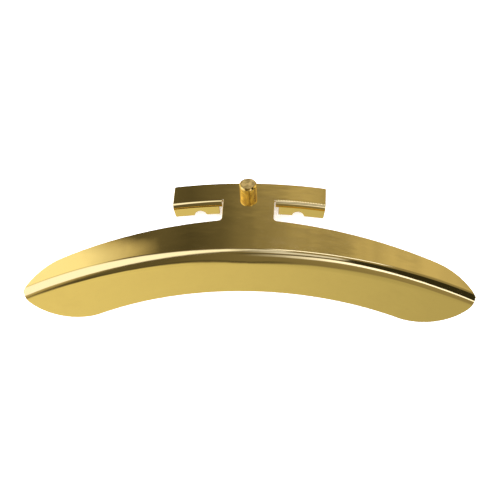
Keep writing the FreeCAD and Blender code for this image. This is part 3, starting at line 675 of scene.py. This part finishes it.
# the Mix node's sockets when it mixes colours
MIX_FACTOR, MIX_A, MIX_B, MIX_RESULT = 0, 6, 7, 2


def opaque(color):
    return (*color, 1.0)


def grey(level):
    return (level, level, level, 1.0)


class Shader:
    """A short way to write a node tree."""

    def __init__(self, tree):
        self.tree = tree
        self.tree.nodes.clear()

    def add(self, kind, inputs=None, **settings):
        node = self.tree.nodes.new(kind)
        for key, value in settings.items():
            setattr(node, key, value)
        for key, value in (inputs or {}).items():
            self.put(node.inputs[key], value)
        return node

    def put(self, socket, value):
        if isinstance(value, bpy.types.NodeSocket):
            self.tree.links.new(value, socket)
        else:
            socket.default_value = value

    def math(self, operation, *values):
        node = self.add("ShaderNodeMath", operation=operation)
        for socket, value in zip(node.inputs, values):
            self.put(socket, value)
        return node.outputs[0]

    def total(self, first, *others):
        for other in others:
            first = self.math("ADD", first, other)
        return first

    def product(self, first, *others):
        for other in others:
            first = self.math("MULTIPLY", first, other)
        return first

    def minus(self, one, two):
        return self.math("SUBTRACT", one, two)

    def span(self, value, start, end, first=0.0, last=1.0, smooth=True):
        """value from start to end becomes first to last, and stays there outside."""
        node = self.add("ShaderNodeMapRange",
                        interpolation_type="SMOOTHSTEP" if smooth else "LINEAR")
        for socket, item in zip(node.inputs, (value, start, end, first, last)):
            self.put(socket, item)
        return node.outputs[0]

    def graph(self, value, stops, top):
        """Straight lines through (value, level) stops, for levels from 0 to top."""
        first, last = stops[0][0], stops[-1][0]
        place = self.span(value, first, last, smooth=False)
        ramp = self.add("ShaderNodeValToRGB", {0: place})
        elements = ramp.color_ramp.elements
        while len(elements) < len(stops):
            elements.new(0.5)
        for element, (position, level) in zip(elements, stops):
            element.position = (position - first) / (last - first)
            element.color = grey(level / top)
        return self.product(ramp.outputs[0], top)

    def band(self, value, center, narrow, wide):
        """1 within narrow of center, falling to 0 at wide."""
        away = self.math("ABSOLUTE", self.minus(value, center))
        return self.span(away, wide, narrow)

    def mix(self, factor, one, two, blend="MIX"):
        node = self.add("ShaderNodeMix", data_type="RGBA", blend_type=blend)
        for socket, value in ((MIX_FACTOR, factor), (MIX_A, one), (MIX_B, two)):
            self.put(node.inputs[socket], value)
        return node.outputs[MIX_RESULT]

    def tint(self, one, two):
        return self.mix(1.0, one, two, "MULTIPLY")

    def noise(self, vector, scale, detail=3.0, rough=0.5):
        node = self.add("ShaderNodeTexNoise", {"Vector": vector, "Scale": scale, "Detail": detail,
                                               "Roughness": rough})
        return node.outputs["Fac"]

    def stretched(self, vector, scale, turn_deg=0.0):
        node = self.add("ShaderNodeMapping", {
            "Vector": vector, "Scale": scale, "Rotation": (0.0, 0.0, math.radians(turn_deg))})
        return node.outputs["Vector"]

    def bump(self, height, strength, distance_mm):
        node = self.add("ShaderNodeBump", {
            "Strength": strength, "Distance": distance_mm * MM, "Height": height})
        return node.outputs[0]


def new_material(name, color, metallic, roughness):
    """A material with a Principled shader, for the caller to add detail to."""
    material = bpy.data.materials.new(name)
    material.use_nodes = True
    shader = Shader(material.node_tree)
    principled = shader.add("ShaderNodeBsdfPrincipled", {
        "Base Color": opaque(color), "Metallic": metallic, "Roughness": roughness})
    output = shader.add("ShaderNodeOutputMaterial")
    shader.tree.links.new(principled.outputs[0], output.inputs["Surface"])
    place = shader.add("ShaderNodeTexCoord").outputs["Object"]
    return material, shader, principled, place


def plated_sheet_material():
    """Mirror-bright gold plate: faint wiping smudges, hair scratches, soft ripples, dull edges."""
    material, shader, principled, place = new_material("plated_sheet", GOLD, 1.0, 0.08)
    layout = shader.add("ShaderNodeUVMap", uv_map="layout").outputs[0]
    edge = shader.add("ShaderNodeAttribute", attribute_name="edge").outputs["Fac"]
    smudge = shader.span(shader.noise(place, 55.0, 4.0, 0.62), 0.46, 0.72)
    speck = shader.span(shader.noise(place, 1400.0, 2.0, 0.6), 0.66, 0.8)
    scratches = 0.0
    for turn, scale in ((12.0, 90.0), (-31.0, 120.0), (64.0, 75.0)):
        along = shader.stretched(layout, (1.0, 34.0, 1.0), turn)
        hairs = shader.span(shader.noise(along, scale, 1.0, 0.4), 0.665, 0.70)
        scratches = shader.math("MAXIMUM", scratches, hairs)
    rough = shader.total(0.045, shader.product(smudge, 0.075), shader.product(scratches, 0.10),
                         shader.product(edge, 0.20))
    shader.put(principled.inputs["Roughness"], rough)
    color = shader.mix(shader.product(smudge, 0.35), opaque(GOLD), opaque(RUBBED_GOLD))
    color = shader.mix(shader.product(speck, 0.5), color, opaque(TARNISH_SPOT))
    color = shader.mix(shader.product(edge, 0.6), color, opaque(SHEARED_EDGE))
    shader.put(principled.inputs["Base Color"], color)
    ripple = shader.noise(shader.stretched(layout, (1.0, 2.2, 1.0)), 7.0, 2.0)
    pitting = shader.noise(place, 700.0, 2.0)
    shear = shader.noise(shader.stretched(layout, (60.0, 1.0, 1.0)), 30.0, 2.0, 0.6)
    height = shader.total(ripple, shader.product(pitting, 0.006), shader.product(scratches, -0.003),
                          shader.product(shear, edge, 0.02))
    shader.put(principled.inputs["Normal"], shader.bump(height, 1.0, 0.06))
    return material


def plated_knob_material():
    """Gold on the knurl, darker in patches down its valleys, and a duller, browner turned face."""
    material, shader, principled, place = new_material("plated_knob", GOLD, 1.0, 0.2)
    axis = WORN.to_3x3().col[1].normalized()
    center = WORN @ Vector((0.0, 0.0, SCREW_Z))
    shifted = shader.add("ShaderNodeVectorMath", {0: place, 1: tuple(center)},
                         operation="SUBTRACT").outputs[0]
    along = shader.add("ShaderNodeVectorMath", {0: shifted, 1: tuple(axis)},
                       operation="DOT_PRODUCT").outputs["Value"]
    length = shader.add("ShaderNodeVectorMath", {0: shifted}, operation="LENGTH").outputs["Value"]
    radius = shader.math("SQRT", shader.minus(shader.product(length, length),
                                              shader.product(along, along)))
    face = shader.product(shader.span(along, 9.75 * MM, 9.79 * MM),
                          shader.span(radius, 2.75 * MM, 2.68 * MM))
    valley = shader.span(radius, 3.43 * MM, 3.32 * MM)
    # the knurl's valleys are coloured darker, in noise patches
    dark_valleys = shader.product(valley, shader.span(shader.noise(place, 500.0), 0.3, 0.65))
    patina = shader.noise(place, 420.0, 4.0, 0.6)
    rings = shader.noise(shader.add("ShaderNodeCombineXYZ", {0: radius}).outputs[0], 9000.0, 1.0)
    side_color = shader.mix(shader.product(dark_valleys, 0.6), opaque(KNURL_GOLD), opaque(KNURL_VALLEY_DARK))
    face_color = shader.mix(shader.span(patina, 0.42, 0.60), opaque(FACE_DARK), opaque(FACE_PALE))
    face_color = shader.mix(shader.product(rings, 0.4), face_color, opaque(FACE_RING))
    shader.put(principled.inputs["Metallic"], shader.minus(1.0, shader.product(face, 0.25)))
    shader.put(principled.inputs["Base Color"], shader.mix(face, side_color, face_color))
    rough = shader.total(0.10, shader.product(face, 0.30), shader.product(patina, 0.12))
    shader.put(principled.inputs["Roughness"], rough)
    height = shader.total(shader.product(rings, face), shader.product(patina, 0.3))
    shader.put(principled.inputs["Normal"], shader.bump(height, 0.5, 0.02))
    return material


def metal_material(name, color, dark, roughness, grain, bump_mm):
    """Plain metal with blotches, directional tool marks and small dents."""
    material, shader, principled, place = new_material(name, color, 1.0, roughness)
    blotch = shader.noise(place, 380.0, 4.0, 0.6)
    marks = shader.noise(shader.stretched(place, (1.0, grain, 1.0)), 900.0, 2.0)
    dents = shader.span(shader.noise(place, 1500.0, 1.0), 0.62, 0.75)
    tone = shader.span(blotch, 0.35, 0.75)
    shader.put(principled.inputs["Base Color"], shader.mix(tone, opaque(color), opaque(dark)))
    rough = shader.total(roughness * 0.7, shader.product(blotch, roughness * 0.6),
                         shader.product(marks, 0.08))
    shader.put(principled.inputs["Roughness"], rough)
    height = shader.minus(marks, shader.product(dents, 0.6))
    shader.put(principled.inputs["Normal"], shader.bump(height, 0.6, bump_mm))
    return material


def soft_material(name, color, dark, scale, bump_mm):
    """Leather or fibre: grain, pores and rubbed patches."""
    material, shader, principled, place = new_material(name, color, 0.0, 0.7)
    cells = shader.add("ShaderNodeTexVoronoi", {"Vector": place, "Scale": scale})
    fibres = shader.noise(place, scale * 2.5, 4.0, 0.65)
    rubbed = shader.span(shader.noise(place, scale * 0.3), 0.45, 0.7)
    pale = [min(1.0, channel * 1.5) for channel in color]
    tone = shader.mix(fibres, opaque(dark), opaque(color))
    tone = shader.mix(shader.product(rubbed, 0.4), tone, opaque(pale))
    shader.put(principled.inputs["Base Color"], tone)
    shader.put(principled.inputs["Roughness"], shader.span(rubbed, 0.0, 1.0, 0.85, 0.55))
    height = shader.total(cells.outputs["Distance"], shader.product(fibres, 0.5))
    shader.put(principled.inputs["Normal"], shader.bump(height, 0.7, bump_mm))
    return material


# ---------------------------------------------------------------- studio
# The polished metal shows the armrest itself and the world, and nothing else. Bearings are degrees
# from straight back, heights are degrees over the far horizon (90 is overhead and 180 the near
# horizon), and a direction's x runs from -1 at the left to 1 at the right. FAR_WALL has (bearing,
# brightness) and SHEET_EDGE has (x, height).
FAR_WALL = ((-60, 0.88), (-38, 0.78), (-33, 0.57), (-28, 0.42), (-22, 0.08), (-16, 0.065),
            (-9, 0.115), (-2.5, 0.22), (4, 0.31), (10, 0.33), (17, 0.31), (23, 0.35),
            (29, 0.39), (60, 0.40))
SHEET_EDGE = ((-0.50, 156), (-0.39, 157), (-0.32, 145), (-0.27, 138), (-0.19, 138), (-0.11, 148),
              (-0.05, 161), (0.01, 150), (0.09, 140), (0.28, 140), (0.34, 154), (0.50, 156))
HIGHEST = 200.0                         # above every height in SHEET_EDGE
COOL = (1.0, 1.02, 1.3, 1.0)
WARM = (1.0, 0.94, 1.0, 1.0)
TUBE_TINT = (1.0, 1.15, 2.8)            # bluish, so that its reflection in gold comes out pale
SOFTBOX = (1.2, 1.36, 3.0, 1.0)
BACKDROP = 0.93                         # what the camera sees round the armrest
DIFFUSE_LIGHT = 1.4                     # what matt surfaces get from all round


class Sky:
    """A direction of the world: its x, its height over the far horizon, and its bearing."""

    def __init__(self, shader):
        self.direction = shader.add("ShaderNodeTexCoord").outputs["Generated"]
        self.x, y, z = shader.add("ShaderNodeSeparateXYZ", {0: self.direction}).outputs
        degree = 180 / math.pi
        height = shader.product(shader.math("ARCTAN2", z, y), degree)
        below = shader.product(shader.math("LESS_THAN", height, -90.0), 360.0)
        self.height = shader.total(height, below)
        self.bearing = shader.product(shader.math("ARCTAN2", self.x, y), degree)


def far_side(shader, sky):
    """A dark opening left of centre and paler walls, with the ceiling above them."""
    x, height = sky.x, sky.height
    low_down = shader.span(height, 6.0, 3.0, 1.0, 1.4)
    light = shader.product(shader.graph(sky.bearing, FAR_WALL, 1.0), low_down)
    cloud = shader.span(shader.noise(sky.direction, 11.0, 2.0), 0.35, 0.65, 0.88, 1.12)
    on_the_right = shader.span(x, -0.3, 0.1)
    light = shader.tint(light, shader.mix(on_the_right, grey(1.0), cloud))
    light = shader.tint(light, shader.mix(shader.span(x, -0.60, -0.40), COOL, WARM))
    ceiling = shader.span(x, -0.35, 0.40, 0.11, 0.29, smooth=False)
    left_end = shader.span(x, -0.48, -0.66)
    ceiling = shader.tint(shader.mix(left_end, ceiling, grey(0.5)), WARM)
    wall_top = shader.span(x, -0.5, -0.2, -1.0, 5.0)
    above_wall = shader.span(shader.minus(height, wall_top), 0.0, 11.0)
    where_walled = shader.span(x, -0.66, -0.52)
    light = shader.mix(shader.product(above_wall, where_walled), light, ceiling)
    overhead = shader.span(height, 60.0, 80.0)
    return shader.mix(overhead, light, ceiling)


def near_side(shader, sky, light):
    """A pale sheet whose upper edge hangs in shallow waves, dark just above it, and the table."""
    x, height = sky.x, sky.height
    edge = shader.graph(x, SHEET_EDGE, HIGHEST)
    lip = shader.band(height, shader.minus(edge, 15.0), 3.0, 9.0)
    lip_right, lip_left = shader.span(x, 0.10, -0.02, 0.0, 0.7), shader.span(x, -0.52, -0.46)
    light = shader.mix(shader.product(lip, lip_right, lip_left), light, grey(0.07))
    sheet = shader.span(x, -0.35, 0.16, 0.80, 0.45, smooth=False)
    table = shader.span(x, -0.19, 0.07, 0.80, 0.475, smooth=False)
    near = shader.mix(shader.span(height, 160.0, 184.0), sheet, table)
    past_edge = shader.span(shader.minus(height, edge), -9.0, 9.0)
    return shader.mix(past_edge, light, near)


def right_side(shader, sky, light):
    """A black gap with a tube light over it, thinner tubes further away, and a window."""
    x, height = sky.x, sky.height
    beyond = shader.math("MAXIMUM", shader.minus(x, 0.29), 0.0)
    first_tube = shader.total(76.0, shader.product(310.0, shader.product(beyond, beyond)))
    under_tube = shader.span(shader.minus(height, first_tube), -9.0, -16.0)
    gap = shader.product(under_tube, shader.span(height, 27.0, 39.0), shader.span(x, 0.33, 0.40))
    crack = shader.band(height, shader.span(x, -0.05, 0.35, 66.0, 58.0), 2.0, 7.0)
    crack = shader.product(crack, shader.span(x, -0.14, -0.04, 0.0, 0.7))
    light = shader.mix(shader.math("MAXIMUM", gap, crack), light, grey(0.03))
    last_tube = shader.span(x, 0.1, 0.46, 13.0, 15.0)
    # a tube's height, the half widths of its core and glow, where along x it comes up and where it
    # ends, and how bright it is
    for place, core, glow, comes_up, ends, level in (
            (first_tube, 5.0, 15.0, (-0.1, 0.50), (1.2, 1.1), 1.7),
            (44.0, 3.0, 12.0, (-0.12, 0.14), (0.40, 0.32), 0.8),
            (27.0, 3.0, 9.0, (-0.10, -0.05), (0.16, 0.08), 0.8),
            (last_tube, 2.5, 5.0, (0.0, 0.10), (0.52, 0.46), 1.6)):
        tube = shader.product(shader.band(height, place, core, glow),
                              shader.span(x, *comes_up), shader.span(x, *ends))
        light = shader.mix(tube, light, opaque([level * channel for channel in TUBE_TINT]))
    window = shader.span(x, 0.84, 0.92)
    return shader.mix(window, light, grey(1.3))


def softbox(shader, sky, light):
    """The overhead light, over the left: low on the far side, and wider towards the left."""
    x, height = sky.x, sky.height
    top = shader.minus(36.0, shader.product(x, 30.0))
    top = shader.total(top, shader.product(140.0, shader.product(x, x)))
    under_top = shader.span(shader.minus(height, top), 8.0, -8.0)
    over_bottom = shader.span(height, 14.0, 28.0)
    on_the_left = shader.span(x, -0.02, -0.14)
    return shader.mix(shader.product(under_top, over_bottom, on_the_left), light, SOFTBOX)


def studio_world():
    """A pale surround for the camera, and the studio for reflections."""
    world = bpy.data.worlds.new("studio")
    bpy.context.scene.world = world
    world.use_nodes = True
    shader = Shader(world.node_tree)
    sky = Sky(shader)
    light = far_side(shader, sky)
    for part in (near_side, right_side, softbox):
        light = part(shader, sky, light)
    path = shader.add("ShaderNodeLightPath").outputs
    seen = shader.mix(path["Is Camera Ray"], light, grey(BACKDROP))
    seen = shader.mix(path["Is Diffuse Ray"], seen, grey(DIFFUSE_LIGHT))
    background = shader.add("ShaderNodeBackground", {"Color": seen, "Strength": 1.0})
    output = shader.add("ShaderNodeOutputWorld")
    shader.tree.links.new(background.outputs[0], output.inputs["Surface"])


def studio_floor():
    half, glow = 3.0, 0.4
    mesh = bpy.data.meshes.new("floor")
    corners = [(-half, -half, 0.0), (half, -half, 0.0), (half, half, 0.0), (-half, half, 0.0)]
    mesh.from_pydata(corners, [], [(0, 1, 2, 3)])
    floor = add_object("floor", mesh)
    material, shader, principled, place = new_material("floor_paper", PAPER, 0.0, 0.9)
    fibre = shader.noise(place, 120.0, 4.0)
    shader.put(principled.inputs["Base Color"], shader.mix(fibre, grey(0.91), grey(0.93)))
    shader.put(principled.inputs["Emission Color"], grey(1.0))
    shader.put(principled.inputs["Emission Strength"], glow)
    mesh.materials.append(material)
    floor.visible_glossy = False        # in reflections the world's table takes its place


def area_light(name, location, size, power):
    """A soft light over the armrest that the mirror-bright metal doesn't show."""
    data = bpy.data.lights.new(name, "AREA")
    data.shape = "DISK"
    data.size = size
    data.energy = power
    lamp = bpy.data.objects.new(name, data)
    bpy.context.scene.collection.objects.link(lamp)
    lamp.location = location
    lamp.rotation_euler = (-Vector(location)).to_track_quat("-Z", "Y").to_euler()
    lamp.visible_glossy = False
    lamp.visible_camera = False


# the camera in the worn attitude: where it is, in millimetres, and the directions out of its back
# and to its right, fitted to the photograph's outline
CAMERA_PLACE = (35.02, 413.974, 382.109)
CAMERA_BACK = (0.05856, 0.73009, 0.68083)
CAMERA_RIGHT = (0.99821, -0.03476, -0.04858)


def studio_camera():
    """Nearly straight down, a little to the right of the armrest and towards its near side."""
    data = bpy.data.cameras.new("camera")
    data.sensor_width = 36.0
    data.lens = 103.7
    data.clip_start = 0.01
    data.clip_end = 20.0
    camera = bpy.data.objects.new("camera", data)
    bpy.context.scene.collection.objects.link(camera)
    attitude = WORN.to_3x3().normalized()
    back = (attitude @ Vector(CAMERA_BACK)).normalized()
    right = attitude @ Vector(CAMERA_RIGHT)
    up = back.cross(right).normalized()
    turn = Matrix((up.cross(back), up, back)).transposed().to_4x4()
    camera.matrix_world = Matrix.Translation(WORN @ Vector(CAMERA_PLACE)) @ turn
    bpy.context.scene.camera = camera
    bpy.context.scene.view_settings.view_transform = "Standard"


# ---------------------------------------------------------------- putting it together
PIECES = (
    (build_plate, "armrest_plate", "plate", "plated_sheet"),
    (build_head, "thumbscrew_head", "thumbscrew", "plated_knob"),
    (build_stud, "screw_stud", "thumbscrew", "plain_steel"),
    (build_clip, "screw_clip", "thumbscrew", "spring_steel"),
    (build_washer, "thrust_washer", "thumbscrew", "washer_fibre"),
    (build_pad, "jaw_pad", "jaw", "pad_leather"),
)
NOT_MIRRORED = ("thumbscrew_head", "screw_stud")    # the tab shows no image of the screw

materials = {"plated_sheet": plated_sheet_material(), "plated_knob": plated_knob_material()}
for slot, looks in METALS.items():
    materials[slot] = metal_material(slot, *looks)
for slot, looks in SOFT_STUFF.items():
    materials[slot] = soft_material(slot, *looks)

for build, node, body, slot in PIECES:
    piece = build()
    piece.data.materials.append(materials[slot])
    piece.visible_glossy = node not in NOT_MIRRORED
    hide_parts(node)
    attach(piece, body)

jaw = frame["nodes"]["clamp_jaw"]
jaw.data.materials.clear()
jaw.data.materials.append(materials["plated_jaw"])

studio_world()
studio_floor()
area_light("key", (-0.5, 0.3, 1.4), 1.6, 26.0)
area_light("fill", (0.7, -0.5, 1.2), 1.6, 18.0)
studio_camera()
